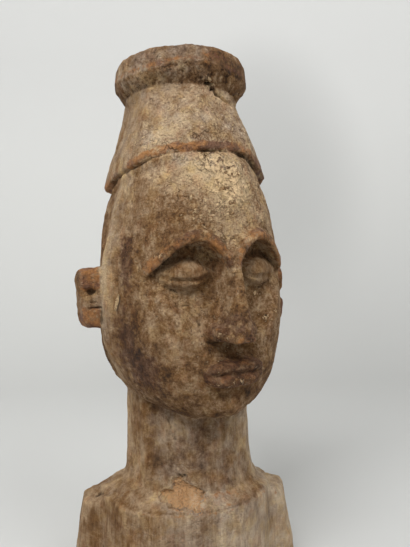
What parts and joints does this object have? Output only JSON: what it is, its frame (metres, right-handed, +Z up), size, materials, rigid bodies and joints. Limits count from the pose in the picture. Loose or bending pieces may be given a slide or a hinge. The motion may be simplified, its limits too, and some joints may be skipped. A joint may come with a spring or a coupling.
{
  "type": "carved wooden bust",
  "caption": "Carved wooden female bust cut from one billet, with a tall bell-shaped cap and flared rim, block ears, a thick neck and flat-cut shoulders.",
  "frame": {"origin": "centre of the neck's axis on the flat underside", "axes": "+Z up from the underside to the rim of the cap; the face looks along -Y and the figure's right side is at -X; the shoulders are turned 18 degrees from the face"},
  "size_m": [0.0762, 0.0691, 0.1755],
  "materials": {
    "weathered_wood": "dry weathered hardwood with knife facets, fine upright grain, ochre crust, dark stains and reddish worn edges"
  },
  "bodies": {
    "root": {"carved_bust": "weathered_wood"}
  },
  "joints": []
}
